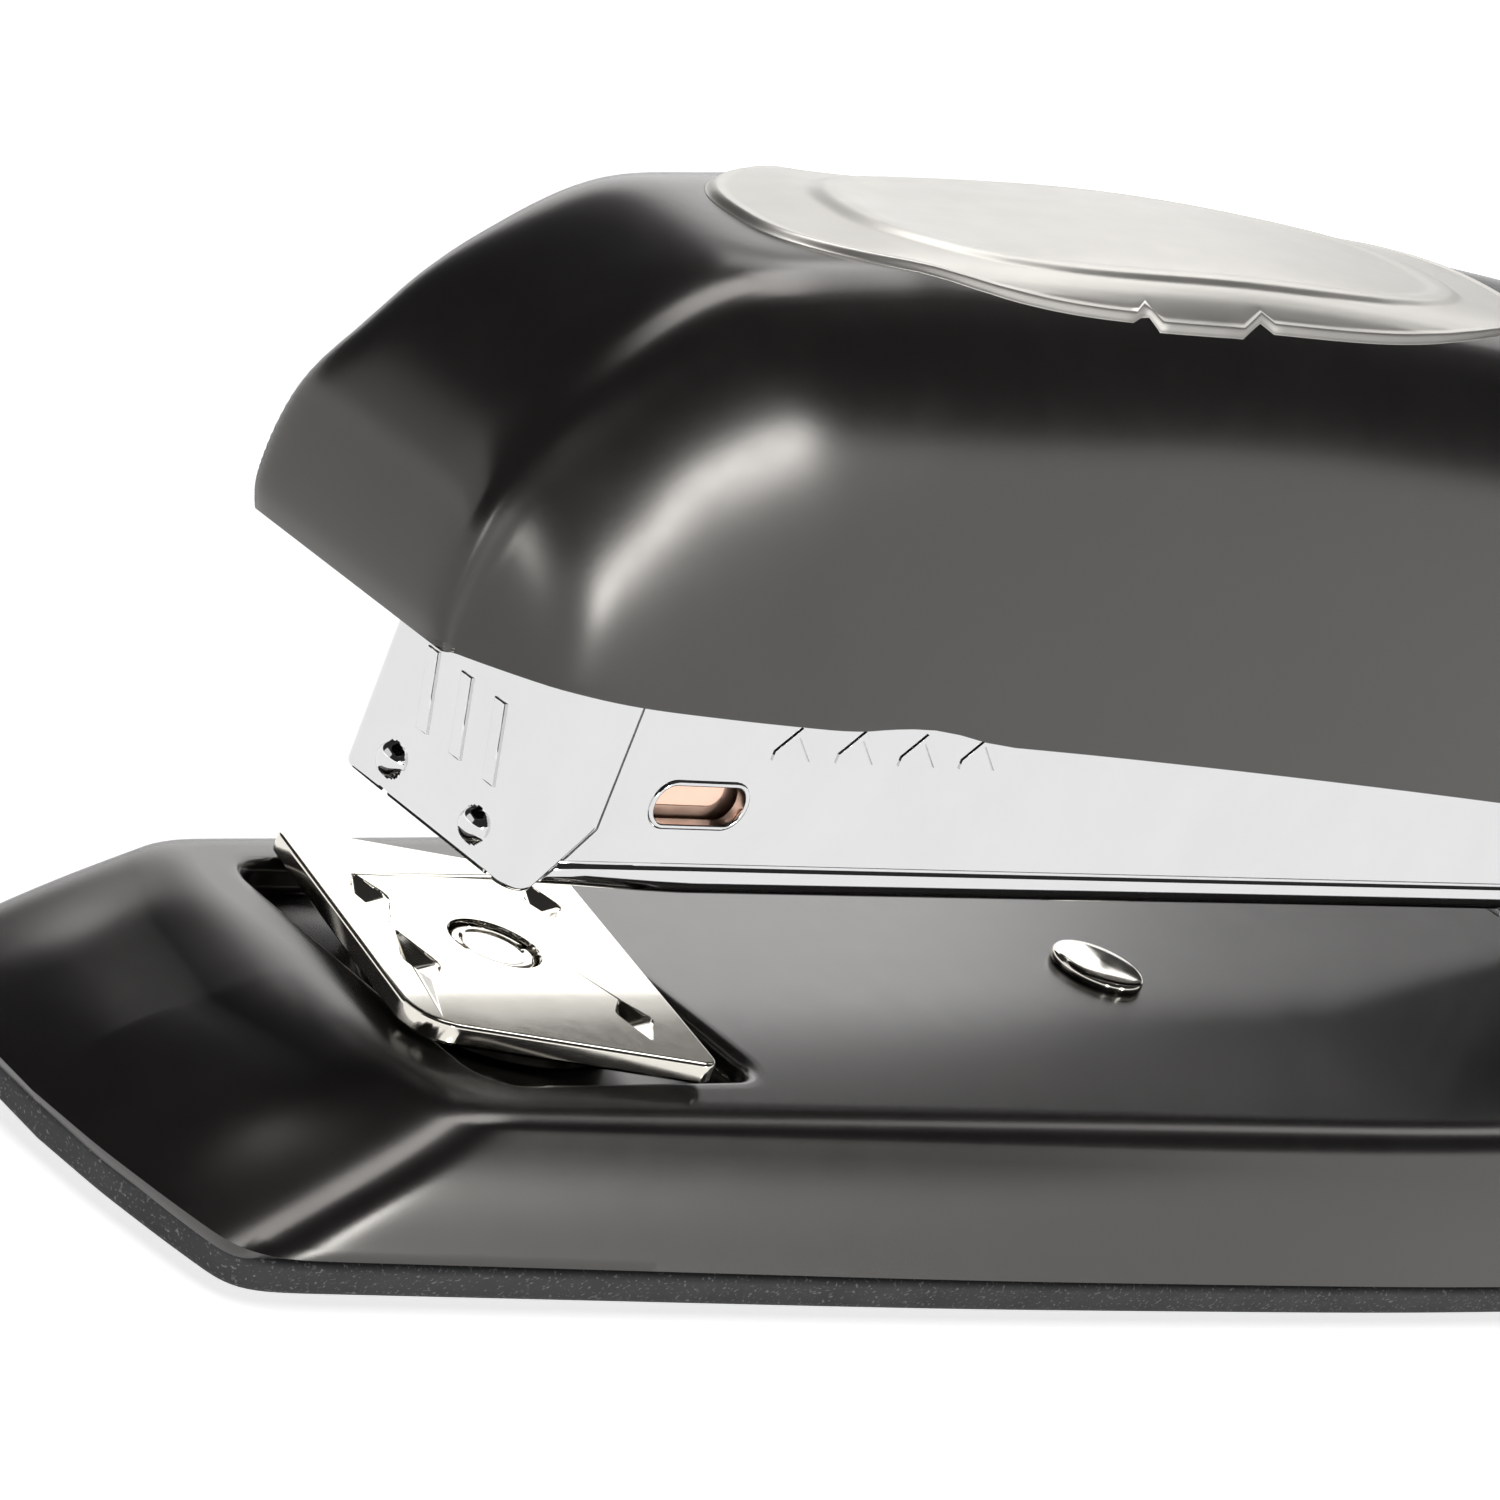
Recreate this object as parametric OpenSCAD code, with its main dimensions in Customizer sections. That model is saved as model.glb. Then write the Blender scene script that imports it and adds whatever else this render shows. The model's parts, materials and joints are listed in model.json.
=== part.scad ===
// Full-strip desk stapler: pressed-steel base and cap, chromed magazine, turnable anvil.
// Frame: mm, +Z up, X along the stapler with the nose at -X and the hinge at +X.
// The origin is the centre of the base's footprint, on the table.
// Everything above the deck is drawn in the deck frame: origin on the deck at the anvil's
// centre, X along the deck towards the hinge, Z square to the deck. on_deck() places it.

/* [Base] */
// Length of the base
base_length = 190; // [150:1:230]
// Height of the deck at the anvil
deck_height = 11.9; // [9:0.1:16]
// Slope of the deck, rising to the hinge, in degrees
deck_tilt = 1.6; // [0:0.1:3]
// Distance from the base's front end to the anvil's centre
anvil_setback = 30.5; // [26:0.5:40]
// Sheet thickness of base and cap
sheet = 1.1; // [0.8:0.05:1.5]
// Height of the rubber that shows under the shell
pad_height = 2.9; // [2:0.1:4]
// Gap between the rubber and the shell's lower edge
pad_gap = 0.3; // [0.1:0.05:0.6]

/* [Anvil] */
// Anvil plate length along X before it is turned
anvil_length = 20.4; // [16:0.1:24]
// Anvil plate width along Y before it is turned
anvil_width = 24.6; // [20:0.1:28]
// Height of the plate's top over the deck
anvil_top = 1.775; // [1:0.025:2.5]
// Thickness of the plate
anvil_thickness = 1.475; // [1:0.025:2]
// Turn of the plate at rest, seen from above, in degrees
anvil_turn = -16.5; // [-30:0.5:30]
// Radius of the hole in the plate's middle
anvil_hole_r = 2.9; // [2:0.05:4]
// Depth of the recess in the deck
recess_depth = 2; // [1:0.1:3]

/* [Magazine] */
// Outer width of the channel
channel_width = 14.9; // [14:0.1:17]
// Underside of the channel over the deck
channel_low = 9.51; // [8:0.01:12]
// Top edge of the channel over the deck
channel_high = 24.5; // [20:0.5:28]
// Sheet thickness of the channel and the nose
channel_sheet = 0.75; // [0.5:0.05:1]
// Front face of the nose plate, behind the anvil's centre
nose_front = -9.58; // [-12:0.01:-8]
// Depth of the nose plate's side flaps
nose_flap = 5; // [4:0.1:8]
// Middle of the side window along the channel
window_x = 3.95; // [0:0.05:10]
// Middle of the side window over the deck
window_z = 15.15; // [13:0.05:18]
// Length of the side window
window_length = 7.4; // [5:0.1:10]
// Height of the side window
window_height = 2.5; // [2:0.1:4]

/* [Hinge] */
// Hinge axis behind the anvil's centre
hinge_x = 151.5; // [140:0.5:156]
// Hinge axis over the deck
hinge_z = 17; // [15:0.5:20]
// Radius of the hinge pin
pin_r = 2; // [1.5:0.1:2.5]
// Radial clearance of a running fit
running = 0.06; // [0.02:0.01:0.1]

/* [Cap] */
// Badge length
badge_length = 74; // [60:1:80]
// Badge width
badge_width = 21.2; // [16:0.2:23]
// Middle of the badge along the cap
badge_x = 34.5; // [30:0.5:45]
// How far the badge stands off the cap
badge_proud = 0.45; // [0.3:0.05:0.8]

/* [Output] */
// Which sub-part to make

/* [Hidden] */
$fn = 48;
steel = [0.78, 0.78, 0.76];
nickel = [0.85, 0.82, 0.74];
paint = [0.12, 0.12, 0.12];
rubber = [0.35, 0.35, 0.36];
copper = [0.85, 0.6, 0.47];
anvil_x = -base_length / 2 + anvil_setback;
shell_low = pad_height + pad_gap;
channel_y = channel_width / 2;
channel_in = channel_y - channel_sheet;
channel_floor = channel_low + channel_sheet;
channel_rear = hinge_x + 4.5;
anvil_under = anvil_top - anvil_thickness;
far = 400;

// Places drawings made in the deck frame.
module on_deck() {
    translate([anvil_x, 0, deck_height]) rotate([0, -deck_tilt, 0]) children();
}

// A box from one corner to the other.
module box(low, high) {
    translate(low) cube(high - low);
}

// A plate of the given XZ outline, between two Y values.
module side_plate(outline, y0, y1) {
    translate([0, y1, 0]) rotate([90, 0, 0]) linear_extrude(y1 - y0) polygon(outline);
}

// A round bar along Y.
module cross_bar(x, z, r, y0, y1) {
    translate([x, y0, z]) rotate([-90, 0, 0]) cylinder(r = r, h = y1 - y0);
}

// A round bar along X.
module long_bar(y, z, r, x0, x1) {
    translate([x0, y, z]) rotate([0, 90, 0]) cylinder(r = r, h = x1 - x0);
}

// The same thing on both sides of the middle plane.
module both_sides() {
    children();
    mirror([0, 1, 0]) children();
}

// A rivet head with a bevelled rim, standing on z = 0.
module head(r, h) {
    cylinder(r = r, h = h * 0.45);
    translate([0, 0, h * 0.45]) cylinder(r1 = r, r2 = r * 0.62, h = h * 0.55);
}

// ---- base ----

// The base's outline at its lower edge and at the deck: x, half-width, corner radius.
low_outline = [[-29.7, 1, 1], [-29.3, 7, 1], [-28.5, 12, 1], [-24.6, 18.4, 4.2], [1.6, 19.8, 2],
               [30, 21.9, 2], [73, 23.9, 2], [105, 24.5, 2], [147.6, 24, 12]];
deck_outline = [[-20.5, 1, 1], [-19.4, 10, 1], [-16, 16.4, 3], [-2, 16.9, 2], [11.4, 17.7, 2],
                [28, 18.8, 2], [46, 20, 2], [71, 21.5, 2], [105, 22, 2], [147.4, 21.6, 10.2]];

// Thin discs round an outline, grown by the given amount. A disc that would vanish moves in.
module ring(outline, grow, h) {
    both_sides() for (p = outline) {
        r = max(p[2] + grow, 0.5);
        in = r - p[2] - grow;
        translate([p[0] + (p[0] < -16 ? in : 0), max(p[1] - p[2] - in, 0), 0])
            cylinder(r = r, h = h, $fn = p[2] > 2.5 ? 32 : 8);
    }
}

// The base's outside, moved in by the given amount.
module base_block(inset) {
    low = shell_low - (inset > 0 ? 1 : 0);
    hull() {
        translate([anvil_x, 0, low]) ring(low_outline, -inset, 0.1);
        on_deck() {
            translate([0, 0, -3 - inset]) ring(deck_outline, 1 - inset, 0.1);
            if (inset == 0) translate([0, 0, -0.9]) ring(deck_outline, 0.1, 0.1);
            translate([0, 0, -0.1 - inset]) ring(deck_outline, -1.6 - inset / 2, 0.1);
        }
    }
}

recess = [[-10.2, -13, -recess_depth], [12.2, 13, 5]];

module base_shell() {
    color(paint) difference() {
        union() {
            difference() {
                base_block(0);
                base_block(sheet);
            }
            on_deck() box(recess[0] - [sheet, sheet, sheet], [recess[1][0] + sheet, recess[1][1] + sheet, -0.5]);
        }
        on_deck() {
            box(recess[0], recess[1]);
            translate([0, 0, -10]) cylinder(r = post_r + running, h = 20);
            translate([rivet_x, 0, -5]) cylinder(r = rivet_shank_r, h = 10);
            for (p = bracket_holes)
                translate([p[0], p[1], -5]) cylinder(r = bracket_shank_r, h = 10);
        }
    }
}

button_hole_r = 7.5;

module base_pad() {
    color(rubber) difference() {
        union() {
            hull() {
                translate([anvil_x, 0, 0]) ring(low_outline, -1.5, 0.1);
                translate([anvil_x, 0, pad_height - 0.1]) ring(low_outline, -0.7, 0.1);
            }
            translate([anvil_x, 0, pad_height - 0.1]) hull() ring(low_outline, -sheet - 2.6, 1.2);
        }
        translate([anvil_x, 0, -1]) cylinder(r = button_hole_r, h = 20);
    }
}

rivet_x = 56.2;
rivet_r = 3.3;
rivet_shank_r = 1.6;

module base_rivet() {
    color(nickel) on_deck() {
        translate([rivet_x, 0, 0]) head(rivet_r, 1);
        translate([rivet_x, 0, leaf_z - 0.6]) cylinder(r = rivet_shank_r, h = -leaf_z + 0.7);
        translate([rivet_x, 0, leaf_z - 0.6]) cylinder(r = 2.6, h = 0.6);
    }
}

// ---- anvil ----

post_r = 3.4;
neck_r = 2.4;
hub_r = 8.8;
collar_z = -recess_depth - sheet - 3.3;
leaf_z = collar_z + 0.65;
leaf_sheet = 0.5;

// Flat spring under the deck, from the rivet to the collar of the anvil post. Its rear end is
// bent up against the deck.
module anvil_leaf() {
    rear = [[rivet_x + 5, leaf_z], [rivet_x + 5, leaf_z + leaf_sheet], [7, leaf_z + leaf_sheet],
            [7, leaf_z]];
    color(steel) on_deck() difference() {
        union() {
            side_plate(rear, -4.5, 4.5);
            translate([0, 0, leaf_z]) cylinder(r = 7.5, h = leaf_sheet);
            translate([rivet_x, 0, leaf_z]) cylinder(r = 3.2, h = -leaf_z - sheet - 0.05);
        }
        translate([0, 0, leaf_z - 1]) cylinder(r = post_r + 0.4, h = 3);
        translate([rivet_x, 0, leaf_z - 1]) cylinder(r = rivet_shank_r, h = 10);
    }
}

module anvil_post() {
    seat = anvil_top - 0.6;
    color(nickel) on_deck() {
        translate([0, 0, collar_z]) cylinder(r = post_r + 1, h = 0.6);
        translate([0, 0, collar_z]) cylinder(r = post_r, h = -recess_depth + 0.05 - collar_z);
        translate([0, 0, collar_z]) cylinder(r = neck_r, h = seat - collar_z + 0.05);
        translate([0, 0, seat + 0.03]) head(anvil_hole_r - 0.3, 0.45);
        translate([0, 0, -9]) cylinder(r = neck_r, h = collar_z + 9.1);
    }
}

module anvil_button() {
    color(nickel) on_deck() difference() {
        translate([0, 0, -10.6]) cylinder(r = 6, h = 2.2);
        translate([0, 0, -9]) cylinder(r = neck_r, h = 5);
    }
}

// One clinch groove: a shallow trough that deepens from its outer end to its inner end.
module groove(x, y0, y1) {
    s = y1 > y0 ? 1 : -1;
    for (i = [0:4])
        translate([x, y0 + (y1 - y0) * i / 4, anvil_top + 0.5 - 0.12 * i]) rotate([0, 90, 0])
            translate([0, 0, -0.85]) cylinder(r = 1.05, h = 1.7, $fn = 24);
}

// Corner radii of the plate: front near, front far, rear near, rear far.
module anvil() {
    hx = anvil_length / 2;
    hy = anvil_width / 2;
    corners = [[-hx, -hy, 3], [-hx, hy, 1.2], [hx, -hy, 1.2], [hx, hy, 1.2]];
    color(nickel) on_deck() rotate([0, 0, anvil_turn]) difference() {
        union() {
            difference() {
                box([-hx, -hy, anvil_under], [hx, hy, anvil_top]);
                for (c = corners)
                    box([c[0] - (c[0] > 0 ? c[2] : 1), c[1] - (c[1] > 0 ? c[2] : 1), 0],
                        [c[0] + (c[0] < 0 ? c[2] : 1), c[1] + (c[1] < 0 ? c[2] : 1), 3]);
            }
            for (c = corners)
                translate([c[0] - sign(c[0]) * c[2], c[1] - sign(c[1]) * c[2], anvil_under])
                    cylinder(r = c[2], h = anvil_thickness);
            translate([0, 0, -recess_depth + 0.1]) cylinder(r = hub_r, h = recess_depth + anvil_under);
        }
        translate([0, 0, -5]) cylinder(r = neck_r + running, h = 10);
        translate([0, 0, anvil_top - 0.6]) cylinder(r = anvil_hole_r, h = 2);
        groove(-6.9, 6.3, 1.6);
        groove(-6.9, -6.3, -1.6);
        groove(6.3, 5.4, 9.8);
        groove(6.3, -5.4, -9.8);
    }
}

// ---- hinge ----

ear_in = 8.8;
ear_out = 10.2;
ear_r = 4.8;
bracket_sheet = 1.2;
bracket_shank_r = 1.5;
bracket_holes = [[129, 4.2], [129, -4.2], [146, 5.2], [146, -5.2]];
bracket = [118, hinge_x + ear_r];

// U bracket with an ear on each side. The ears lean forward, so that the cap's rear edge can
// swing down behind them when the stapler is opened flat.
module hinge_bracket() {
    ear = [[hinge_x - 25, 0], [hinge_x - 9, 0], [hinge_x + 4, hinge_z - 2.6], [hinge_x, hinge_z],
           [hinge_x - 3.4, hinge_z + 3.3], [hinge_x - 22, 4.5], [hinge_x - 25, 3]];
    color(steel) on_deck() difference() {
        union() {
            box([bracket[0], -ear_out, 0], [bracket[1], ear_out, bracket_sheet]);
            both_sides() {
                side_plate(ear, ear_in, ear_out);
                cross_bar(hinge_x, hinge_z, ear_r, ear_in, ear_out);
            }
        }
        cross_bar(hinge_x, hinge_z, pin_r, -20, 20);
        for (p = bracket_holes)
            translate([p[0], p[1], -2]) cylinder(r = bracket_shank_r, h = 5);
    }
}

module bracket_rivets() {
    color(steel) on_deck() for (p = bracket_holes) {
        base = p[0] < 135 ? bracket_sheet + leaf_sheet : bracket_sheet;
        translate([p[0], p[1], base]) head(2.4, 0.9);
        translate([p[0], p[1], -sheet]) cylinder(r = bracket_shank_r, h = base + sheet + 0.1);
        translate([p[0], p[1], -sheet - 0.8]) cylinder(r = 2.4, h = 0.8);
    }
}

pin_end = 13.6;

module hinge_pin() {
    color(steel) on_deck() {
        cross_bar(hinge_x, hinge_z, pin_r, -pin_end - 0.5, pin_end + 0.5);
        both_sides() translate([hinge_x, pin_end, hinge_z]) rotate([-90, 0, 0]) head(3.8, 1.3);
    }
}

// Leaf spring on the bracket's foot. Its tip holds the magazine up.
module lift_leaf() {
    tip = channel_low - 0.08;
    leaf = [[134, bracket_sheet], [134, bracket_sheet + leaf_sheet], [123, bracket_sheet + leaf_sheet],
            [93, tip], [88, tip - 0.6], [88, tip - 1.1], [93, tip - leaf_sheet],
            [122.7, bracket_sheet]];
    color(steel) on_deck() difference() {
        side_plate(leaf, -6.8, 6.8);
        for (p = bracket_holes)
            translate([p[0], p[1], 0]) cylinder(r = bracket_shank_r, h = 5);
    }
}

// ---- magazine ----

module window(grow) {
    reach = window_length / 2 - window_height / 2;
    r = window_height / 2 + grow;
    for (s = [-1, 1]) cross_bar(window_x + s * reach, window_z, r, -20, 20);
    box([window_x - reach, -20, window_z - r], [window_x + reach, 20, window_z + r]);
}

// Open-topped channel with rounded lower edges.
module magazine() {
    r = 1.6;
    front = nose_front + channel_sheet + 0.12;
    color(steel) on_deck() difference() {
        union() {
            box([front, -channel_y, channel_low + r], [channel_rear, channel_y, channel_high]);
            box([front, -channel_y + r, channel_low], [channel_rear, channel_y - r, channel_low + 3]);
            both_sides() long_bar(channel_y - r, channel_low + r, r, front, channel_rear);
        }
        box([-30, -channel_in, channel_floor], [far, channel_in, far]);
        box([-30, -channel_in, 0], [-6.8, channel_in, far]);
        window(0);
        side_plate([[hinge_x - 4, far], [hinge_x - 4, channel_high], [channel_rear, hinge_z + 1.5],
                    [far, hinge_z + 1.5], [far, far]], -20, 20);
        cross_bar(hinge_x, hinge_z, pin_r + running, -20, 20);
        both_sides() cross_bar(block_rivet[0], block_rivet[1], block_rivet_r, channel_in - 1, 20);
    }
}

// Folded nose: front face and two side flaps with a bevelled lower corner.
module nose_plate() {
    out = channel_y + channel_sheet;
    back = nose_front + nose_flap;
    r = 1.4;
    color(steel) on_deck() difference() {
        union() {
            box([nose_front + r, -out, channel_low], [back, out, channel_high]);
            box([nose_front, -out + r, channel_low], [nose_front + 3, out - r, channel_high]);
            both_sides() translate([nose_front + r, out - r, channel_low])
                cylinder(r = r, h = channel_high - channel_low);
            for (y = [-4, 4]) translate([nose_front + 0.75, y, channel_low + 2.1]) sphere(r = 1.05);
        }
        box([nose_front + channel_sheet, -channel_y, 0], [far, channel_y, far]);
        side_plate([[nose_front + 1.7, channel_low - 1], [back + 1, channel_low - 1],
                    [back + 1, channel_low + 3.9], [back, channel_low + 3.9],
                    [nose_front + 1.7, channel_low]], -20, 20);
        for (y = [-6.7, 3.4]) box([-20, y, 0], [nose_front + 3, y + 0.8, channel_low + 0.35]);
    }
}

rail_y = 5.6;
rail_top = 16.2;
rail_front = -7;
block = [134, 142];

module inner_rail() {
    color(steel) on_deck() difference() {
        box([rail_front, -rail_y, channel_floor], [block[0] - 0.1, rail_y, rail_top]);
        box([-20, -rail_y + 0.8, 0], [far, rail_y - 0.8, rail_top - 0.8]);
    }
}

rod_z = 20;
rod_r = 1.2;
block_rivet = [138, 13.5];
block_rivet_r = 1;

module rear_block() {
    color(steel) on_deck() difference() {
        box([block[0], -channel_in, channel_floor], [block[1], channel_in, 23.4]);
        long_bar(0, rod_z, rod_r, 100, 200);
        cross_bar(block_rivet[0], block_rivet[1], block_rivet_r, -20, 20);
    }
}

module block_rivets() {
    color(steel) on_deck() {
        cross_bar(block_rivet[0], block_rivet[1], block_rivet_r, -channel_y, channel_y);
        both_sides() translate([block_rivet[0], channel_y, block_rivet[1]]) rotate([-90, 0, 0])
            head(1.9, 0.6);
    }
}

module guide_rod() {
    color(steel) on_deck() long_bar(0, rod_z, rod_r, -2, block[1]);
}

lug = [2, 6];

// Staple follower: saddle over the rail with a bored lug for the guide rod.
module pusher() {
    skirt_out = channel_in - 0.2;
    skirt_in = rail_y + 0.2;
    color(copper) on_deck() difference() {
        union() {
            box([rail_front, -skirt_out, channel_floor + 0.75], [9, skirt_out, rail_top + 1]);
            box([lug[0], -3, rail_top], [lug[1], 3, rod_z + 2.6]);
        }
        box([-20, -skirt_in, 0], [20, skirt_in, rail_top + 0.2]);
        long_bar(0, rod_z, rod_r + running, -20, 20);
    }
}

spring_turns = 20;
spring_r = 2.15;
wire_r = 0.3;

// Coil spring between the pusher and the rear block.
module pusher_spring() {
    x0 = lug[1] + 0.05;
    length = block[0] - 0.05 - x0;
    lead = length / (spring_turns * 2 * PI * spring_r);
    half = wire_r / lead / spring_r * 180 / PI;
    slice = [for (i = [-1:1]) let (a = half * i, t = wire_r * cos(i * 70))
                 [(spring_r + t) * cos(a), (spring_r + t) * sin(a)],
             for (i = [1:-1:-1]) let (a = half * i, t = wire_r * cos(i * 70))
                 [(spring_r - t) * cos(a), (spring_r - t) * sin(a)]];
    color(steel) on_deck() translate([x0, 0, rod_z]) rotate([0, 90, 0])
        linear_extrude(length, twist = -360 * spring_turns, slices = spring_turns * 9, segments = 6, $fn = 9)
            polygon(slice);
}

// ---- cap ----

// Cap cross-sections. The front ones fan out from an axis across the cap: angle, reach, half-width,
// depth of the section, and the two powers of its rounded-box curve. The others stand upright at x.
fan_axis = [12, 10];
cap_fan = [[157.2, 37, 9.4, 0.8, 8, 2], [155.6, 38.2, 11.4, 4, 9, 1.5], [153, 39.4, 12.2, 7.6, 10, 1.5],
           [147, 41.6, 12.8, 15.3, 8, 1.5], [141, 42.4, 13, 20, 6, 1.5], [134, 42.75, 13.05, 23.4, 6, 1.6],
           [127, 42.95, 13.1, 26, 5.5, 2], [120, 42.9, 13.15, 27.5, 5, 2.7],
           [113, 41.9, 13.2, 27.6, 4.8, 3.5], [103, 40.5, 13.2, 27, 4.6, 4.3]];
cap_run = [[12, 50, 13.2, 27, 4.6, 4.5], [32, 51.3, 13.2, 29, 4.6, 4.5], [52, 51.2, 13.25, 30, 4.6, 4.5],
           [72, 50.6, 13.3, 30.5, 4.6, 4.5], [92, 49.2, 13.2, 31, 4.6, 4.5],
           [110, 46.6, 13, 30, 4.6, 4.3], [126, 42.4, 12.8, 28, 4.6, 4], [136, 38.1, 12.7, 25, 4.6, 4],
           [143, 33.7, 12.6, 23, 4.6, 4], [149, 29.8, 12.5, 20, 4.6, 4], [154, 25.6, 12.3, 16, 4.6, 4],
           [157.2, 21.4, 12, 12, 4.6, 4], [158.6, 17, 11.6, 8, 4.6, 4]];
shares = [1, 0.985, 0.96, 0.925, 0.88, 0.82, 0.74, 0.62, 0.4, 0];

// Lower edge of the cap, front to rear.
cap_edge = [[-30, 24.6], [-18, 24.5], [-9, 23.7], [5, 23.2], [30, 22.4], [65, 20.8], [100, 18.4],
            [130, 15], [141, 12.6], [146, 10.6], [150, 9.7], [153, 9.7], [156.5, 10.8],
            [158.6, 13], [159.5, 17]];

// One cross-section, moved in by the given amount: a rounded box with its crown at the reach.
function cap_section(s, inset) = let (
    w = s[2] - inset, top = s[1] - inset,
    right = [for (q = shares) [w * q, top - s[3] * (1 - pow(1 - pow(q, s[4]), 1 / s[5]))]])
    concat([[-w, top - s[3] - 4], [w, top - s[3] - 4]], right,
           [for (i = [len(right) - 2:-1:0]) [-right[i][0], right[i][1]]]);

module cap_block(inset) {
    hull() {
        for (s = cap_fan)
            translate([fan_axis[0], 0, fan_axis[1]]) rotate([0, 90 - s[0], 0])
                rotate([90, 0, 90]) linear_extrude(0.02) polygon(cap_section(s, inset));
        for (s = cap_run)
            translate([s[0] - (s[0] > 150 ? inset : 0), 0, 0]) rotate([90, 0, 90])
                linear_extrude(0.02) polygon(cap_section(s, inset));
    }
}

module cap_shell() {
    color(paint) on_deck() difference() {
        intersection() {
            cap_block(0);
            side_plate(concat(cap_edge, [[170, 60], [-30, 60]]), -20, 20);
        }
        cap_block(sheet);
        box([hinge_x - 2, -11, 0], [170, 11, hinge_z + 9.5]);
        cross_bar(hinge_x, hinge_z, pin_r + running, -20, 20);
        for (x = post_x) translate([x, 0, 30]) cylinder(r = post_tip_r, h = 30);
    }
}

function oval(a, b) = [for (t = [0:7.5:352.5]) [a * cos(t), b * sin(t)]];

// Domed oval badge that follows the crown.
module badge() {
    color(nickel) on_deck() intersection() {
        difference() {
            cap_block(-badge_proud);
            cap_block(-0.02);
        }
        translate([badge_x, 0, 30]) linear_extrude(40) polygon(oval(badge_length / 2, badge_width / 2));
    }
}

frame_top = 42.8;
frame_y = 8.5;
frame_sheet = 0.8;
blade_back = -7.6;
blade_low = 17.3;
post_x = [22, 62];
post_tip_r = 1.8;
leaf_rivet_x = 99;

// Frame inside the cap: top strip, front tab for the driver and two cheeks on the hinge pin.
module cap_frame() {
    low = frame_top - frame_sheet;
    cheek = [[92, low], [110, low], [hinge_x + 1.5, hinge_z + 5.2], [hinge_x, hinge_z - 5.4],
             [hinge_x - 4.5, hinge_z - 3], [128, 26]];
    color(steel) on_deck() difference() {
        union() {
            box([blade_back, -frame_y, low], [110, frame_y, frame_top]);
            box([blade_back, -6, 33], [blade_back + frame_sheet, 6, frame_top]);
            both_sides() {
                side_plate(cheek, frame_y - frame_sheet, frame_y);
                cross_bar(hinge_x, hinge_z, 5.4, frame_y - frame_sheet, frame_y);
            }
        }
        cross_bar(hinge_x, hinge_z, pin_r + running, -20, 20);
        for (x = post_x) translate([x, 0, 30]) cylinder(r = post_tip_r, h = 30);
        translate([leaf_rivet_x, 0, 30]) cylinder(r = post_tip_r, h = 30);
        for (y = [-3.5, 3.5]) long_bar(y, 37, 0.9, -20, 0);
    }
}

module driver_blade() {
    color(steel) on_deck() difference() {
        box([blade_back - 0.6, -6.3, blade_low], [blade_back, 6.3, frame_top - 1]);
        for (y = [-3.5, 3.5]) long_bar(y, 37, 0.9, -20, 0);
    }
}

module driver_rivets() {
    color(steel) on_deck() for (y = [-3.5, 3.5]) {
        long_bar(y, 37, 0.9, blade_back - 0.6, blade_back + frame_sheet);
        long_bar(y, 37, 1.5, blade_back - 1, blade_back - 0.6);
        long_bar(y, 37, 1.5, blade_back + frame_sheet, blade_back + frame_sheet + 0.4);
    }
}

// Leaf spring under the frame. Its tip rests on the channel's top edges.
module cap_leaf() {
    low = frame_top - frame_sheet;
    tip = channel_high + 0.08;
    leaf = [[104, low - leaf_sheet], [104, low], [94, low], [55, tip + leaf_sheet], [50, tip + 1.1],
            [50, tip + 0.6], [55, tip], [94.4, low - leaf_sheet]];
    color(steel) on_deck() difference() {
        side_plate(leaf, -7.3, 7.3);
        translate([leaf_rivet_x, 0, 30]) cylinder(r = post_tip_r, h = 30);
    }
}

// Posts that join the cap to its frame, and the leaf's rivet.
module frame_posts() {
    low = frame_top - frame_sheet;
    color(steel) on_deck() {
        for (x = post_x) {
            translate([x, 0, low - 0.6]) cylinder(r = 3, h = 0.6);
            translate([x, 0, low - 0.1]) cylinder(r = post_tip_r, h = 50.4 - low);
            translate([x, 0, frame_top]) cylinder(r = 3.2, h = 49.4 - frame_top);
        }
        translate([leaf_rivet_x, 0, low - leaf_sheet - 0.6]) cylinder(r = 3, h = 0.6);
        translate([leaf_rivet_x, 0, low - leaf_sheet - 0.1]) cylinder(r = post_tip_r, h = 2);
        translate([leaf_rivet_x, 0, frame_top]) cylinder(r = 3, h = 0.6);
    }
}

base_shell();
base_pad();
base_rivet();
anvil_leaf();
anvil_post();
anvil_button();
anvil();
hinge_bracket();
bracket_rivets();
hinge_pin();
lift_leaf();
magazine();
nose_plate();
inner_rail();
rear_block();
block_rivets();
guide_rod();
pusher();
pusher_spring();
cap_shell();
badge();
cap_frame();
driver_blade();
driver_rivets();
cap_leaf();
frame_posts();
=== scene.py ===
import json
import math

import bmesh
import bpy
import numpy as np
from mathutils import Matrix, Vector
from mathutils.bvhtree import BVHTree


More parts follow.
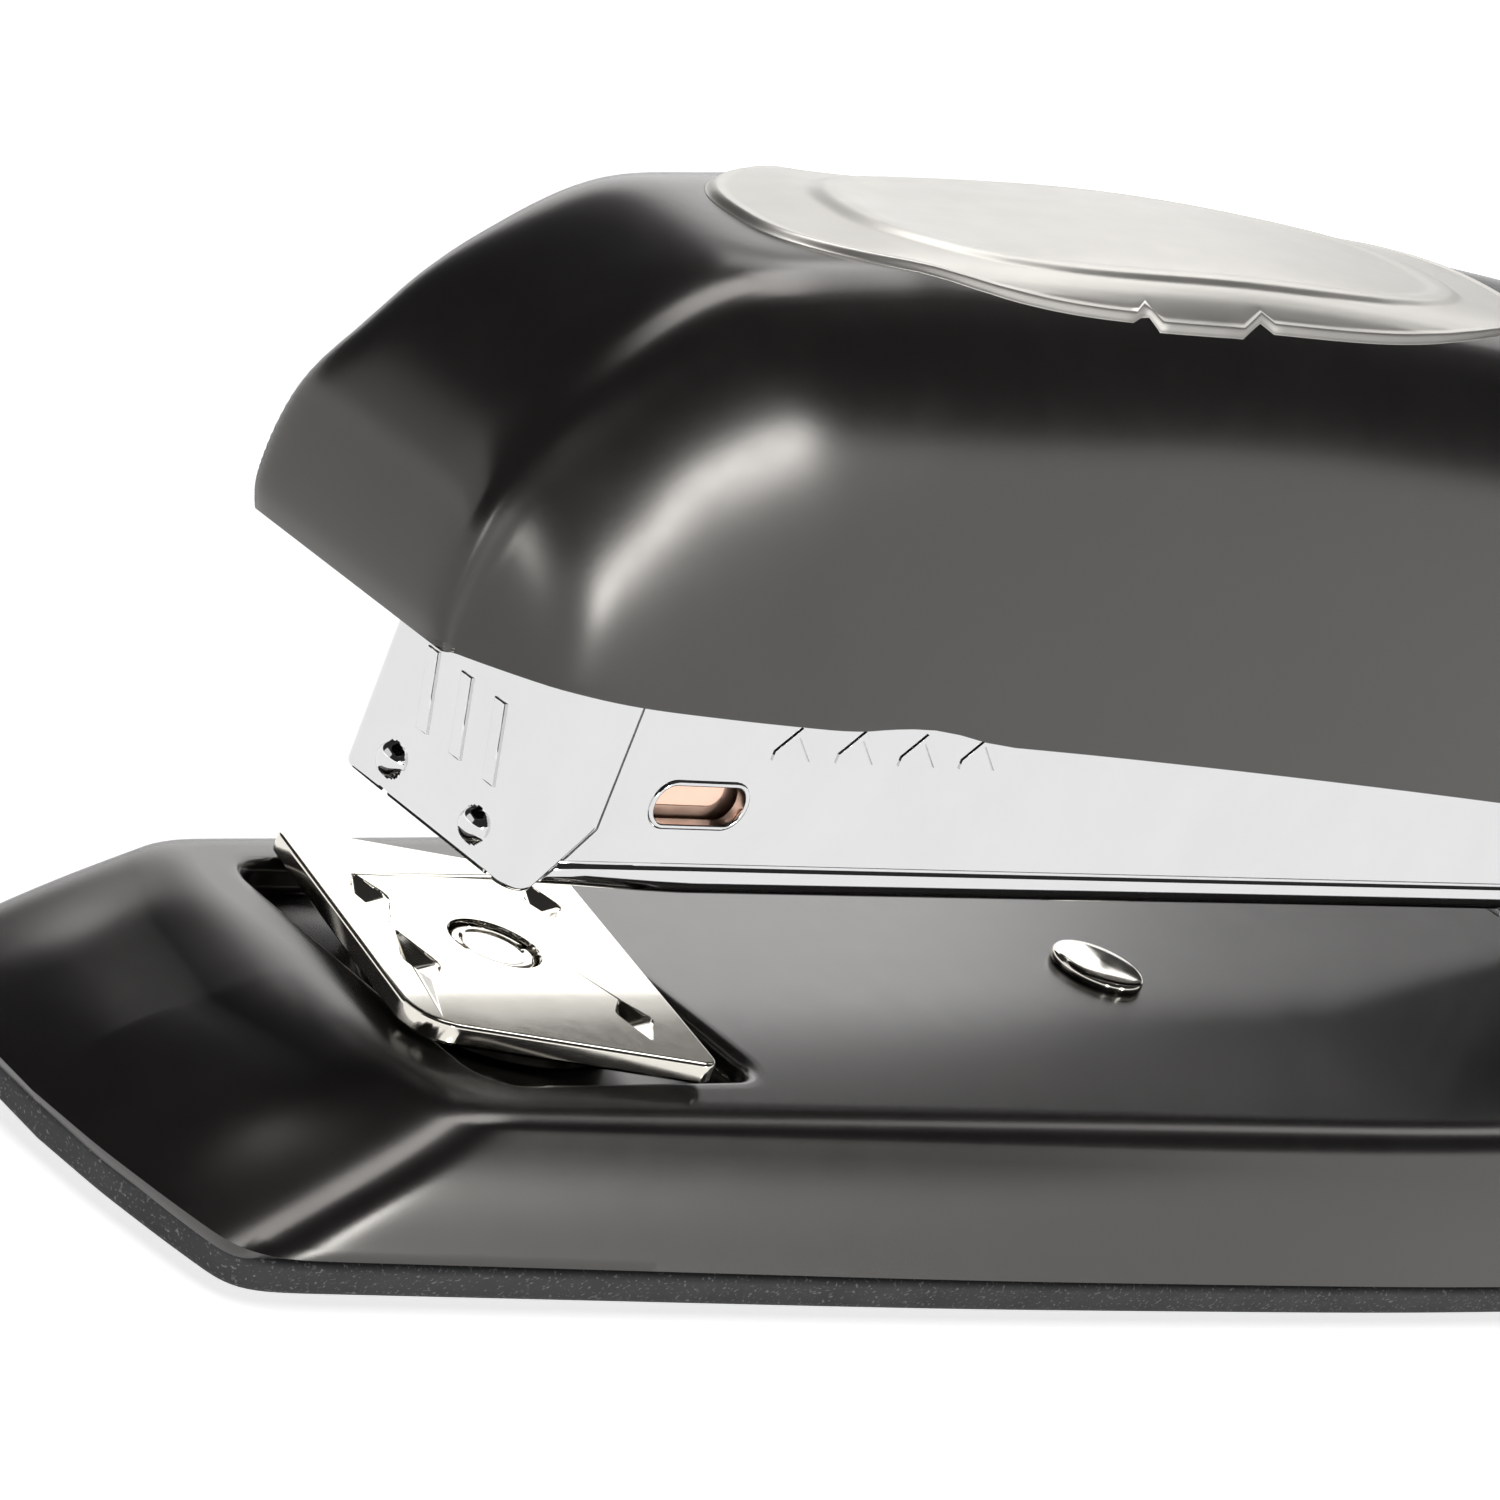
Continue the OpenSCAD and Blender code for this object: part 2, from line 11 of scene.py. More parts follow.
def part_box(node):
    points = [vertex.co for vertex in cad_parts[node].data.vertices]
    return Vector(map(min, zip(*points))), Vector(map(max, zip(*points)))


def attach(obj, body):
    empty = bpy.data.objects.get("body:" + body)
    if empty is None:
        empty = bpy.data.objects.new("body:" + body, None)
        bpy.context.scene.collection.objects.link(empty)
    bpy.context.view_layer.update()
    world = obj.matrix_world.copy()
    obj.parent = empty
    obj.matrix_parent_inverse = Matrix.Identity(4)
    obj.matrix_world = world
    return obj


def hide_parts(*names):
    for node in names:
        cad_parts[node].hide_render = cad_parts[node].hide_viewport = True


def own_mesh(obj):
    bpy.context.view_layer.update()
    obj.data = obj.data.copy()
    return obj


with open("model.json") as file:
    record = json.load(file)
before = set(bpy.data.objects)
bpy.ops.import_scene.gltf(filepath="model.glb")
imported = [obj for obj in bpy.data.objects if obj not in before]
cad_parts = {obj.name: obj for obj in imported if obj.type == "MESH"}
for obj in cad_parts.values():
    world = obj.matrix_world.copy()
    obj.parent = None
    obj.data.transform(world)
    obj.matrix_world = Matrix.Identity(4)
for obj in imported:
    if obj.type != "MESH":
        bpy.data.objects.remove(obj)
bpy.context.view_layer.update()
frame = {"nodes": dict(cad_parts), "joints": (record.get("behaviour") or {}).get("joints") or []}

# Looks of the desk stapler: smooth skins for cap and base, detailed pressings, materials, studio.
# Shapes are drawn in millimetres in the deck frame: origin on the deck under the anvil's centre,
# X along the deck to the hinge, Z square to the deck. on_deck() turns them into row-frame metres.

MM = 0.001

# ---------------------------------------------------------------- frames and sizes

joints = {j["name"]: j for j in frame["joints"]}
deck_up = np.array(joints["anvil_turn"]["axis"], float)
deck_along = np.array([deck_up[2], 0, -deck_up[0]])
deck_origin = np.array(joints["anvil_turn"]["pos_m"]) - MM * deck_up


def on_deck(points):
    """Row-frame metres from millimetres in the deck frame."""
    p = np.asarray(points, float) * MM
    return deck_origin + p[:, :1] * deck_along + p[:, 1:2] * [0, 1, 0] + p[:, 2:] * deck_up


def deck_of(point):
    """Millimetres in the deck frame from a row-frame point in metres."""
    p = (np.array(point, float) - deck_origin) / MM
    return np.array([p @ deck_along, p[1], p @ deck_up])


hinge = deck_of(joints["magazine_swing"]["pos_m"])
sheet = 1.1
channel_y = 7.45
channel_low = 9.51
channel_high = 24.5
channel_sheet = 0.75
nose_front = -9.58
anvil_top = 1.775
pad_height = 2.6
shell_low = 3.2


# ---------------------------------------------------------------- mesh tools

def grid_faces(rows, columns, wrap=False):
    """Quads of a grid of points stored row by row. A wrapped grid joins each row's two ends."""
    faces = []
    for i in range(rows - 1):
        for j in range(columns if wrap else columns - 1):
            k = (j + 1) % columns
            a = i * columns + j
            b = i * columns + k
            faces.append((a, b, b + columns, a + columns))
    return faces


def loft(rings):
    """Points and faces of a closed solid through equal closed rings, with flat ends."""
    n = len(rings[0])
    points = np.concatenate(rings)
    faces = grid_faces(len(rings), n, wrap=True)
    faces.append(tuple(reversed(range(n))))
    faces.append(tuple(range(len(points) - n, len(points))))
    return points, faces


def new_object(name, points, faces, closed=True):
    """An object from row-frame points. A closed solid gets its normals turned outwards."""
    mesh = bpy.data.meshes.new(name)
    mesh.from_pydata([tuple(p) for p in points], [], [tuple(f) for f in faces])
    if closed:
        bm = bmesh.new()
        bm.from_mesh(mesh)
        bmesh.ops.remove_doubles(bm, verts=bm.verts, dist=1e-7)
        bmesh.ops.recalc_face_normals(bm, faces=bm.faces)
        bm.to_mesh(mesh)
        bm.free()
    obj = bpy.data.objects.new(name, mesh)
    bpy.context.scene.collection.objects.link(obj)
    return obj


def face_away_from(obj, point):
    """Flips an open sheet's normals if they point towards the given row-frame point."""
    lean = sum(p.area * p.normal.dot(p.center - Vector(point)) for p in obj.data.polygons)
    if lean < 0:
        obj.data.flip_normals()


def apply_modifiers(obj):
    """Replaces the object's mesh by what its modifiers make of it."""
    bpy.context.view_layer.update()
    graph = bpy.context.evaluated_depsgraph_get()
    mesh = bpy.data.meshes.new_from_object(obj.evaluated_get(graph), depsgraph=graph)
    obj.modifiers.clear()
    obj.data = mesh


def thicken(obj, thickness, even=True):
    """Gives an open sheet its thickness, behind its outer face."""
    m = obj.modifiers.new("thickness", "SOLIDIFY")
    m.thickness = thickness * MM
    m.offset = -1
    m.use_even_offset = even
    apply_modifiers(obj)


def cut(obj, *cutters):
    """Takes the cutters' solids out of the object."""
    for c in cutters:
        m = obj.modifiers.new("cut", "BOOLEAN")
        m.operation = "DIFFERENCE"
        m.solver = "EXACT"
        m.object = c
    apply_modifiers(obj)
    for c in cutters:
        bpy.data.objects.remove(c)


def join(obj, *others):
    """Puts the others' meshes into the object."""
    bm = bmesh.new()
    for o in (obj, *others):
        bm.from_mesh(o.data)
    bm.to_mesh(obj.data)
    bm.free()
    for o in others:
        bpy.data.objects.remove(o)
    return obj


def soften(obj, width, segments=3, angle=35):
    """Rounds the sharp edges and shades the faces smooth, with flat faces kept flat."""
    weld = obj.modifiers.new("weld", "WELD")
    weld.merge_threshold = 2e-6
    m = obj.modifiers.new("round_edges", "BEVEL")
    m.width = width * MM
    m.segments = segments
    m.limit_method = "ANGLE"
    m.angle_limit = math.radians(angle)
    m.use_clamp_overlap = True
    m.miter_outer = "MITER_ARC"
    w = obj.modifiers.new("flat_faces", "WEIGHTED_NORMAL")
    w.keep_sharp = False
    w.weight = 60


def smooth_shade(obj):
    """Shades every face of the mesh smooth."""
    obj.data.polygons.foreach_set("use_smooth", [True] * len(obj.data.polygons))
    obj.data.update()


def adopt(obj, material, body, slot, *nodes):
    """Finishes a piece: its material, the body it rides on and the CAD nodes it stands for."""
    obj.data.materials.clear()
    obj.data.materials.append(material)
    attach(obj, body)
    if nodes:
        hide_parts(*nodes)
    return obj


def block(name, low, high):
    """A box in the deck frame."""
    (x0, y0, z0), (x1, y1, z1) = low, high
    rings = [[(x0, y0, z), (x1, y0, z), (x1, y1, z), (x0, y1, z)] for z in (z0, z1)]
    points, faces = loft([on_deck(r) for r in rings])
    return new_object(name, points, faces)


def prism(name, outline, y0, y1):
    """A plate with an XZ outline, between two Y values of the deck frame."""
    rings = [[(x, y, z) for x, z in outline] for y in (y0, y1)]
    points, faces = loft([on_deck(r) for r in rings])
    return new_object(name, points, faces)


def turned(name, profile, centre, steps=64):
    """A solid of revolution about the deck's Z through the centre: rows of radius, height."""
    turns = np.linspace(0, 2 * np.pi, steps, endpoint=False)
    rings = []
    for r, z in profile:
        ring = [(centre[0] + r * math.cos(t), centre[1] + r * math.sin(t), z) for t in turns]
        rings.append(on_deck(ring))
    points, faces = loft(rings)
    return new_object(name, points, faces)


def spline(rows, at):
    """Points of a natural cubic spline through the rows, at the given fractional row numbers."""
    y = np.array(rows, float)
    n = len(y)
    a = np.eye(n)
    b = np.zeros_like(y)
    for i in range(1, n - 1):
        a[i, i - 1:i + 2] = (1, 4, 1)
        b[i] = 6 * (y[i - 1] - 2 * y[i] + y[i + 1])
    bend = np.linalg.solve(a, b)
    at = np.asarray(at, float)
    i = np.clip(np.floor(at).astype(int), 0, n - 2)
    t = (at - i)[:, None]
    line = (1 - t) * y[i] + t * y[i + 1]
    return line + ((1 - t) ** 3 - (1 - t)) * bend[i] / 6 + (t ** 3 - t) * bend[i + 1] / 6


def spread(points, count):
    """The given number of points, evenly spaced along a polyline."""
    p = np.asarray(points, float)
    run = np.concatenate([[0], np.cumsum(np.linalg.norm(np.diff(p, axis=0), axis=1))])
    at = np.linspace(0, run[-1], count)
    return np.stack([np.interp(at, run, p[:, k]) for k in range(p.shape[1])], 1)


def ease(t):
    """Smooth step from 0 to 1."""
    t = np.clip(t, 0, 1)
    return t * t * (3 - 2 * t)


# ---------------------------------------------------------------- materials

def new_material(name, **sockets):
    """A material whose shader has the given socket values, with _ for a space in a name."""
    m = bpy.data.materials.new(name)
    m.use_nodes = True
    shader = m.node_tree.nodes["Principled BSDF"]
    for socket, value in sockets.items():
        shader.inputs[socket.replace("_", " ")].default_value = value
    return m


def add_node(m, kind, inputs=None, **settings):
    """A node with its settings. An input is a value or another node's output socket."""
    node = m.node_tree.nodes.new("ShaderNode" + kind)
    for key, value in settings.items():
        setattr(node, key, value)
    for key, value in (inputs or {}).items():
        if isinstance(value, bpy.types.NodeSocket):
            m.node_tree.links.new(value, node.inputs[key])
        else:
            node.inputs[key].default_value = value
    return node


def drive(m, socket, output):
    """Links an output to a socket of the material's shader."""
    m.node_tree.links.new(output, m.node_tree.nodes["Principled BSDF"].inputs[socket])


def noise(m, size, detail=3.0, stretch=(1, 1, 1)):
    """Noise with features of about the given size in millimetres, stretched along the axes."""
    place = add_node(m, "TexCoord")
    scale = add_node(m, "Mapping", {"Vector": place.outputs["Object"], "Scale": stretch})
    return add_node(m, "TexNoise", {"Vector": scale.outputs["Vector"], "Scale": 1 / (size * MM),
                                    "Detail": detail}).outputs["Fac"]


def remap(m, value, low, high, from_low=0.3, from_high=0.7):
    """The value's middle range, brought to low..high."""
    return add_node(m, "MapRange", {"Value": value, "From Min": from_low, "From Max": from_high,
                                    "To Min": low, "To Max": high}).outputs["Result"]


def tint(m, factor, dark, light):
    """A colour between two, by the factor."""
    mix = add_node(m, "Mix", data_type="RGBA")
    mix.inputs[6].default_value = (*dark, 1)
    mix.inputs[7].default_value = (*light, 1)
    m.node_tree.links.new(factor, mix.inputs[0])
    return mix.outputs[2]


def bump(m, height, depth, strength=1.0):
    """Bump of the given depth in millimetres, on the shader's normal."""
    node = add_node(m, "Bump", {"Height": height, "Distance": depth * MM, "Strength": strength})
    drive(m, "Normal", node.outputs["Normal"])


def satin_paint():
    """Baked satin black: faint cloudiness, a slightly uneven gloss and fine orange peel."""
    m = new_material("satin_paint", Roughness=0.26, IOR=1.7, Specular_Tint=(1.0, 0.965, 0.915, 1))
    drive(m, "Base Color", tint(m, remap(m, noise(m, 9), 0, 1), (0.0075, 0.0068, 0.0066),
                                (0.0115, 0.0106, 0.0102)))
    drive(m, "Roughness", remap(m, noise(m, 2.2, 4), 0.25, 0.27))
    bump(m, noise(m, 0.3, 2), 0.005, 0.4)
    return m


def pad_rubber():
    """Moulded rubber: matt grey with pale specks of talc and a fine grain."""
    m = new_material("pad_rubber", Roughness=0.75, IOR=1.4, Specular_IOR_Level=0.12)
    specks = remap(m, noise(m, 0.25, 2), 0, 1, 0.60, 0.70)
    blotches = remap(m, noise(m, 4), 0, 1)
    base = tint(m, blotches, (0.056, 0.056, 0.058), (0.072, 0.072, 0.074))
    mix = add_node(m, "Mix", data_type="RGBA")
    mix.inputs[7].default_value = (0.20, 0.20, 0.20, 1)
    m.node_tree.links.new(specks, mix.inputs[0])
    m.node_tree.links.new(base, mix.inputs[6])
    drive(m, "Base Color", mix.outputs[2])
    bump(m, noise(m, 0.16, 3), 0.02, 0.5)
    return m


def plated(name, dark, light, rough, grain, depth, stretch=(1, 1, 1)):
    """A plated metal: slight cloudiness, uneven polish and a fine grain."""
    m = new_material(name, Metallic=1.0)
    drive(m, "Base Color", tint(m, remap(m, noise(m, 6), 0, 1), dark, light))
    drive(m, "Roughness", remap(m, noise(m, 1.2, 4, stretch), rough[0], rough[1]))
    bump(m, noise(m, grain, 2, stretch), depth, 0.4)
    return m


paint = satin_paint()
rubber = pad_rubber()
chrome = plated("mirror_chrome", (0.68, 0.68, 0.68), (0.70, 0.70, 0.70), (0.05, 0.08), 2.5, 0.0006)
nickel = plated("bright_nickel", (0.74, 0.71, 0.64), (0.77, 0.74, 0.67), (0.08, 0.12), 0.8, 0.0008)
badge_metal = plated("satin_nickel", (0.40, 0.388, 0.365), (0.42, 0.407, 0.383), (0.40, 0.44), 0.12,
                     0.001, (0.3, 1, 1))
copper = plated("copper_plate", (0.94, 0.60, 0.46), (0.98, 0.68, 0.54), (0.34, 0.44), 0.25, 0.003)
zinc = plated("zinc_steel", (0.52, 0.53, 0.55), (0.62, 0.63, 0.64), (0.24, 0.36), 0.3, 0.004)
spring_steel = plated("spring_steel", (0.34, 0.34, 0.36), (0.44, 0.44, 0.45), (0.22, 0.32), 0.2,
                      0.004)


# ---------------------------------------------------------------- cap

# Cross-sections of the cap. The front ones fan out from an axis across the cap: angle, reach,
# half-width, depth of the rounding, and the two powers of its rounded-box curve. The others stand
# upright at x: x, crown height, and the same four.
fan_x, fan_z = 12, 10
cap_fan = [[157.2, 37, 13, 0.8, 9, 2], [155.6, 38.3, 13, 4, 9, 1.8],
           [153, 39.6, 13, 7.6, 9, 1.8], [147, 41.6, 13, 15.3, 8, 1.95],
           [141, 42.5, 13, 20, 6, 1.95], [134, 42.8, 13.05, 23.4, 6, 1.9],
           [127, 42.95, 13.1, 26, 5.5, 2.1], [120, 42.9, 13.15, 27.5, 5, 2.7],
           [113, 41.9, 13.2, 27.6, 4.8, 3.5], [103, 40.5, 13.2, 27, 4.6, 4.3]]
cap_run = [[12, 50, 13.2, 27, 4.6, 4.5], [32, 51.3, 13.2, 29, 4.6, 4.5],
           [52, 51.2, 13.25, 30, 4.6, 4.5], [72, 50.6, 13.3, 30.5, 4.6, 4.5],
           [92, 49.2, 13.2, 31, 4.6, 4.5], [110, 46.6, 13, 30, 4.6, 4.3],
           [126, 42.4, 12.8, 28, 4.6, 4], [136, 38.1, 12.7, 25, 4.6, 4],
           [143, 33.7, 12.6, 23, 4.6, 4], [149, 29.8, 12.5, 20, 4.6, 4],
           [154, 25.6, 12.3, 16, 4.6, 4], [157.2, 21.4, 12, 12, 4.6, 4],
           [158.6, 17, 11.6, 8, 4.6, 4]]

# Lower edge of the cap, front to rear, with a shallow finger relief behind the nose.
cap_edge = [[-30, 24.6], [-18, 24.5], [-9, 23.7], [5, 23.15], [10, 23.3], [15, 23.45], [20, 22.75],
            [30, 22.35], [65, 20.8], [100, 18.4], [130, 15], [141, 12.6], [146, 10.6], [150, 9.7],
            [153, 9.7], [156.5, 10.8], [158.6, 13], [159.5, 17]]
edge_line = spline(cap_edge, np.linspace(0, len(cap_edge) - 1, 400))


# A shoulder line runs this far below the crown, where the flat side turns in to the shoulder.
shoulder_drop = 7.2
shoulder_inset = 0.35
shoulder_lean = math.radians(31)
shoulder_soft = 1.7


def edge_height(x):
    """Height of the cap's lower edge at x."""
    return np.interp(x, edge_line[:, 0], edge_line[:, 1])


def cap_row(station, count):
    """Points across the cap on one cross-section, from edge to edge over the crown."""
    x0, angle, reach, width, depth, m, n = station
    ax, az = math.cos(math.radians(angle)), math.sin(math.radians(angle))
    turn = np.linspace(0, np.pi / 2, 300)
    y = width * np.sin(turn) ** (2 / m)
    r = reach - depth * (1 - np.cos(turn) ** (2 / n))
    over = (y - width + shoulder_inset) * math.cos(shoulder_lean)
    over += (r - reach + shoulder_drop) * math.sin(shoulder_lean)
    trim = (over + np.sqrt(over ** 2 + shoulder_soft ** 2)) / 2 * ease(turn / 0.5)
    y = y - trim * math.cos(shoulder_lean)
    r = r - trim * math.sin(shoulder_lean)
    low, high = 0.0, reach
    for _ in range(40):
        middle = (low + high) / 2
        if fan_z + middle * az < edge_height(x0 + middle * ax):
            low = middle
        else:
            high = middle
    side = np.stack([y, r], 1)
    if low < r[-1]:
        side = np.concatenate([side, [[y[-1], low]]])
    else:
        end = [np.interp(low, r[::-1], y[::-1]), low]
        side = np.concatenate([side[r > low], [end]])
    half = spread(side, count)
    across = np.concatenate([half[:0:-1] * [-1, 1], half])
    return np.stack([x0 + across[:, 1] * ax, across[:, 0], fan_z + across[:, 1] * az], 1)


def cap_surface():
    """Outer surface of the cap: points in the deck frame and quads."""
    stations = [[fan_x] + row for row in cap_fan]
    stations += [[x, 90, crown - fan_z] + rest for x, crown, *rest in cap_run]
    fine = spline(stations, np.linspace(0, 1, 50))
    crown_x = fine[:, 0] + fine[:, 2] * np.cos(np.radians(fine[:, 1]))
    crown_z = fan_z + fine[:, 2] * np.sin(np.radians(fine[:, 1]))
    start = np.argmax(crown_z - edge_height(crown_x) > 0.12) / 49
    rows = [cap_row(s, 60) for s in spline(stations, np.linspace(start, len(stations) - 1, 170))]
    return np.concatenate(rows), grid_faces(len(rows), len(rows[0]))


cap_points, cap_faces = cap_surface()
cap_tree = BVHTree.FromPolygons([Vector(p) for p in cap_points], cap_faces)


def crown_height(x, y):
    """Height of the cap's outer surface over a point of the deck."""
    return cap_tree.ray_cast(Vector((x, y, 80)), Vector((0, 0, -1)))[0].z


def make_cap():
    """The cap's sheet, open at the rear where the hinge bracket stands."""
    cap = new_object("cap_skin", on_deck(cap_points), cap_faces, closed=False)
    face_away_from(cap, on_deck([(60, 0, 10)])[0])
    thicken(cap, sheet, even=False)
    opening = block("rear_opening", (hinge[0] - 2, -11, -5), (175, 11, hinge[2] + 9.5))
    cut(cap, opening)
    smooth_shade(cap)
    soften(cap, 0.42, 4, 50)
    return adopt(cap, paint, "cap", "cap_paint", "cap_shell")


make_cap()


# ---------------------------------------------------------------- badge

# The badge: its middle, half-length and half-width, bluntness, and where its clips' notches are.
badge_x = 32.0
badge_half = (36.0, 9.0)
badge_power = 2.7
tab = (23.3, 33.6)


def badge_height(share):
    """Height of the badge over the cap: rolled rim, flat margin, raised oval field."""
    rim = 0.42 * ease((1.0 - share) / 0.02) - 0.1 * ease((0.985 - share) / 0.03)
    field = 0.26 * ease((0.80 - share) / 0.045)
    return rim + field - 0.08 * ease((0.735 - share) / 0.05)


def blunt(value):
    """A cosine or sine bent so that the pair draws the badge's blunt oval and not an ellipse."""
    return math.copysign(abs(value) ** (2 / badge_power), value)


def badge_rim(x):
    """How far the badge's edge steps out for the two clips, with a notch at each end."""
    inside = ease((x - tab[0] - 0.5) / 0.4) * ease((tab[1] - 0.5 - x) / 0.4)
    notch = sum(ease(1 - abs(x - t) / 0.8) for t in tab)
    return 0.28 * inside - 0.45 * notch


def make_badge():
    """The badge plate, drawn as ovals from its middle to its rim and laid on the crown."""
    shares = np.concatenate([[0.02], np.linspace(0.05, 0.66, 12), np.linspace(0.67, 0.82, 24),
                             np.linspace(0.84, 0.94, 6), np.linspace(0.95, 1.0, 16)])
    turns = np.linspace(0, 2 * np.pi, 360, endpoint=False)
    rows = []
    for s in shares:
        row = []
        for t in turns:
            x = badge_x + badge_half[0] * s * blunt(math.cos(t))
            y = badge_half[1] * s * blunt(math.sin(t))
            y += badge_rim(x) * ease((s - 0.88) / 0.1) * np.sign(y)
            row.append((x, y, crown_height(x, y) + badge_height(s)))
        rows.append(row)
    faces = grid_faces(len(rows), len(turns), wrap=True)
    faces.append(tuple(reversed(range(len(turns)))))
    badge = new_object("badge_plate", on_deck(np.concatenate(rows)), faces, closed=False)
    face_away_from(badge, on_deck([(badge_x, 0, 0)])[0])
    thicken(badge, 0.35, even=False)
    smooth_shade(badge)
    return adopt(badge, badge_metal, "cap", "badge_nickel", "badge")


make_badge()


# ---------------------------------------------------------------- base

# Outlines of the base at its lower edge and at the deck: x, half-width, corner radius.
low_outline = [[-29.7, 1, 1], [-29.3, 7, 1], [-28.5, 12, 1], [-25.6, 18.2, 3.0], [1.6, 19.8, 2],
               [30, 21.9, 2], [73, 23.9, 2], [105, 24.5, 2], [147.6, 24, 12]]
deck_outline = [[-20.5, 1, 1], [-19.6, 10, 1], [-17.2, 16.2, 1.6], [-2, 16.9, 2], [11.4, 17.7, 2],
                [28, 18.8, 2], [46, 20, 2], [71, 21.5, 2], [105, 22, 2], [147.4, 21.6, 10.2]]
# Recess for the anvil: low x, high x, half-width.
recess = (-10.2, 12.2, 13)
recess_depth = 2
side_fillet = 2.1
front_fillet = 5.7


def half_outline(discs, grow):
    """Half of the hull of the discs, front middle to rear middle, with its sides faired."""
    normals = np.radians(np.linspace(180, 0, 1441))
    n = np.stack([np.cos(normals), np.sin(normals)], 1)
    d = np.array(discs, float)
    centres = np.stack([d[:, 0], np.maximum(d[:, 1] - d[:, 2], 0)], 1)
    radii = d[:, 2] + grow
    best = np.argmax(centres @ n.T + radii[:, None], axis=0)
    hull = centres[best] + radii[best][:, None] * n
    marks = [np.argmin(abs(np.degrees(normals) - a)) for a in (180, 135, 90.4, 45, 0)]
    parts = []
    for a, b, count in zip(marks, marks[1:], (44, 190, 24, 44)):
        parts.append(spread(hull[a:b + 1], count)[:-1])
    line = np.concatenate(parts + [hull[-1:]])
    hold = ease((line[:, 0] + 16) / 14) * ease((134 - line[:, 0]) / 10)
    weight = (0.06 + 0.94 * hold)[1:-1, None] * 0.5
    for _ in range(260):
        pull = (line[:-2] + line[2:]) / 2 - line[1:-1]
        line[1:-1] += weight * pull
    return line


def whole(half):
    """A closed outline from its +Y half."""
    return np.concatenate([half, half[-2:0:-1] * [1, -1]])


def rounded_box_reach(angles, low_x, high_x, half_y, radius):
    """Distance from the origin to a rounded rectangle's edge, in each direction."""
    pts = []
    for cx, cy, start in ((high_x - radius, half_y - radius, 0), (low_x + radius, half_y - radius, 90),
                          (low_x + radius, radius - half_y, 180), (high_x - radius, radius - half_y, 270)):
        for a in np.radians(np.linspace(start, start + 90, 24)):
            pts.append((cx + radius * math.cos(a), cy + radius * math.sin(a)))
    pts = spread(pts + pts[:1], 4000)
    around = np.arctan2(pts[:, 1], pts[:, 0])
    order = np.argsort(around)
    return np.interp(angles, around[order], np.hypot(pts[:, 0], pts[:, 1])[order],
                     period=2 * np.pi)


def base_rows():
    """Closed rows of the base's outer surface, row frame, from the lower lip to the recess floor."""
    low = whole(half_outline(low_outline, 0))
    wall = whole(half_outline(deck_outline, 1))
    lip = np.column_stack([low * MM + [deck_origin[0], 0], np.full(len(low), shell_low * MM)])
    lip_deck = np.array([deck_of(p) for p in lip])
    wall = np.column_stack([wall, np.full(len(wall), -3.0)])
    rise = -wall[:, 2:] / (wall[:, 2:] - lip_deck[:, 2:])
    corner = wall + (wall - lip_deck) * rise
    focus = np.column_stack([np.clip(corner[:, 0], 1, 140), np.zeros((len(corner), 2))])
    inward = focus - corner
    inward /= np.linalg.norm(inward, axis=1)[:, None]
    down = lip_deck - corner
    length = np.linalg.norm(down, axis=1)[:, None]
    down /= length
    front = ease((-14.5 - corner[:, :1]) / 5)
    fillet = side_fillet + (front_fillet - side_fillet) * front
    start = corner + down * np.minimum(fillet, 0.55 * length)
    end = corner + inward * fillet
    sides = np.sign(lip_deck[:, 1:2])
    swell = np.column_stack([-1.9 * front, 0.25 * sides * (1 - front), 0.5 * front])
    rows = [lip_deck + (start - lip_deck) * t + swell * math.sin(math.pi * t ** 1.2)
            for t in np.linspace(0, 1, 12)[:-1]]
    for t in np.linspace(0, 1, 14):
        rows.append((1 - t) ** 2 * start + 2 * t * (1 - t) * corner + t ** 2 * end)
    rows += recess_rows(end)
    return [on_deck(r) for r in rows]


def recess_rows(deck_edge):
    """Rows from the deck's edge inwards: the recess's rolled rim, its wall and its floor."""
    centre = (recess[0] + recess[1]) / 2
    angles = np.arctan2(deck_edge[:, 1], deck_edge[:, 0] - centre)
    half = (recess[1] - recess[0]) / 2
    rim = 0.8
    steps = [(rim + 0.6, 0.0), (rim, 0.0)]
    steps += [(rim * (1 - math.sin(a)), -rim * (1 - math.cos(a)))
              for a in np.radians(np.linspace(15, 90, 6))]
    steps += [(0, -recess_depth + 0.5), (-0.15, -recess_depth + 0.15), (-0.5, -recess_depth)]
    rows = []
    for grow, z in steps:
        reach = rounded_box_reach(angles, -half - grow, half + grow, recess[2] + grow, 2.6 + grow)
        rows.append(np.column_stack([centre + reach * np.cos(angles), reach * np.sin(angles),
                                     np.full(len(angles), z)]))
    for r in (8, 3.5):
        rows.append(np.column_stack([r * np.cos(angles), r * np.sin(angles),
                                     np.full(len(angles), -float(recess_depth))]))
    return rows


def make_base():
    """The base's sheet, from its lower lip to the recess floor."""
    rows = base_rows()
    base = new_object("base_skin", np.concatenate(rows), grid_faces(len(rows), len(rows[0]), wrap=True),
                      closed=False)
    face_away_from(base, on_deck([(40, 0, -60)])[0])
    thicken(base, sheet, even=False)
    smooth_shade(base)
    soften(base, 0.3, 3, 50)
    return adopt(base, paint, "base", "cap_paint", "base_shell")


